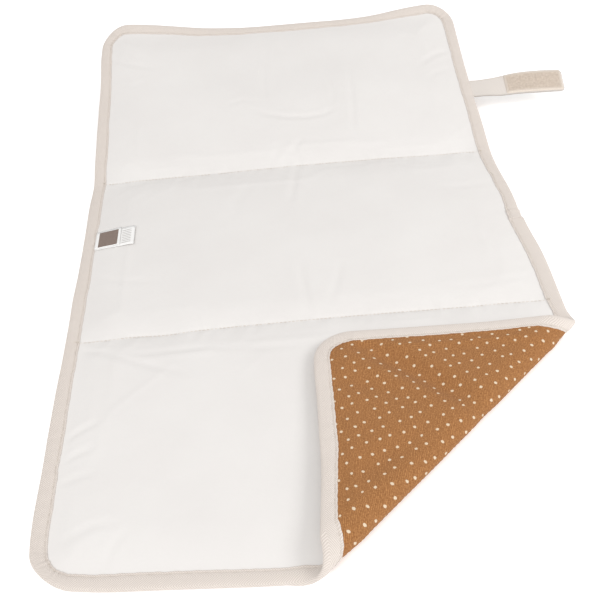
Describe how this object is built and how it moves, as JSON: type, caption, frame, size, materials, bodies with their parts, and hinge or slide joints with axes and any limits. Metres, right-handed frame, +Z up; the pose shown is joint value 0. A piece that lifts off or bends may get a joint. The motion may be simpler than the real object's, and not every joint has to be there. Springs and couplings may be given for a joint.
{
  "type": "changing pad",
  "caption": "Padded travel changing pad with quilted fold lines, a bound edge, a white coated top, a dotted jersey back, a closing strap and a corner turned over.",
  "frame": {"origin": "centre of the middle panel's flat back face, on the floor", "axes": "+Z up through the pad, +Y along its length towards the head end, +X across it towards the edge with the strap"},
  "size_m": [0.5, 0.6941, 0.0586],
  "materials": {
    "coated_white": "wipe-clean coated cotton, soft satin",
    "dotted_jersey": "fine rib jersey, matte, caramel with scattered cream dots",
    "wadding": "polyester wadding, matte",
    "binding_tape": "herringbone twill tape, matte",
    "thread": "polyester sewing thread",
    "hook_patch": "nylon hook tape, fine moulded hooks",
    "loop_patch": "brushed nylon loop tape",
    "care_label": "printed satin ribbon",
    "woven_label": "woven damask ribbon with a plain dark block"
  },
  "bodies": {
    "middle_panel": {"top_cover_middle": "coated_white", "wadding_middle": "wadding", "back_cover_middle": "dotted_jersey", "binding_middle_left": "binding_tape", "binding_stitch_middle_left": "thread", "binding_middle_right": "binding_tape", "binding_stitch_middle_right": "thread", "binding_lap": "binding_tape", "quilt_stitch_head": "thread", "quilt_stitch_foot": "thread"},
    "head_panel": {"top_cover_head": "coated_white", "wadding_head": "wadding", "back_cover_head": "dotted_jersey", "binding_head": "binding_tape", "binding_stitch_head": "thread", "loop_patch": "loop_patch", "loop_patch_stitch": "thread"},
    "foot_panel": {"top_cover_foot": "coated_white", "wadding_foot": "wadding", "back_cover_foot": "dotted_jersey", "binding_foot_left": "binding_tape", "binding_stitch_foot_left": "thread", "binding_foot_right": "binding_tape", "binding_stitch_foot_right": "thread"},
    "corner": {"top_cover_corner": "coated_white", "wadding_corner": "wadding", "back_cover_corner": "dotted_jersey", "binding_corner": "binding_tape", "binding_stitch_corner": "thread"},
    "strap_base": {"strap_base_lower": "binding_tape", "strap_base_upper": "binding_tape"},
    "strap_tip": {"strap_end": "binding_tape", "hook_patch": "hook_patch", "hook_patch_stitch": "thread"},
    "labels": {"care_label": "care_label", "woven_label": "woven_label"}
  },
  "joints": [
    {"name": "head_fold", "type": "hinge", "parent": "middle_panel", "child": "head_panel", "pos_m": [0, 0.11473, 0.0184], "axis": [1, 0, 0], "range_deg": [-13.5, 166.5]},
    {"name": "foot_fold", "type": "hinge", "parent": "middle_panel", "child": "foot_panel", "pos_m": [0, -0.11667, 0.0142], "axis": [-1, 0, 0], "range_deg": [0, 179.9]},
    {"name": "corner_turn", "type": "hinge", "parent": "foot_panel", "child": "corner", "pos_m": [-0.0095, -0.35, 0.01], "axis": [0.7302, 0.6832, 0], "range_deg": [0, 179.9]},
    {"name": "strap_root", "type": "hinge", "parent": "head_panel", "child": "strap_base", "pos_m": [0.2025, 0.21194, 0.02497], "axis": [0, -0.9724, -0.2334], "range_deg": [-90, 90]},
    {"name": "strap_bend", "type": "hinge", "parent": "strap_base", "child": "strap_tip", "pos_m": [0.2416, 0.21194, 0.02497], "axis": [0, -0.9724, -0.2334], "range_deg": [-90, 90]},
    {"name": "label_flip", "type": "hinge", "parent": "middle_panel", "child": "labels", "pos_m": [-0.188, 0.01967, 0.006], "axis": [0, -1, 0], "range_deg": [0, 170]}
  ]
}
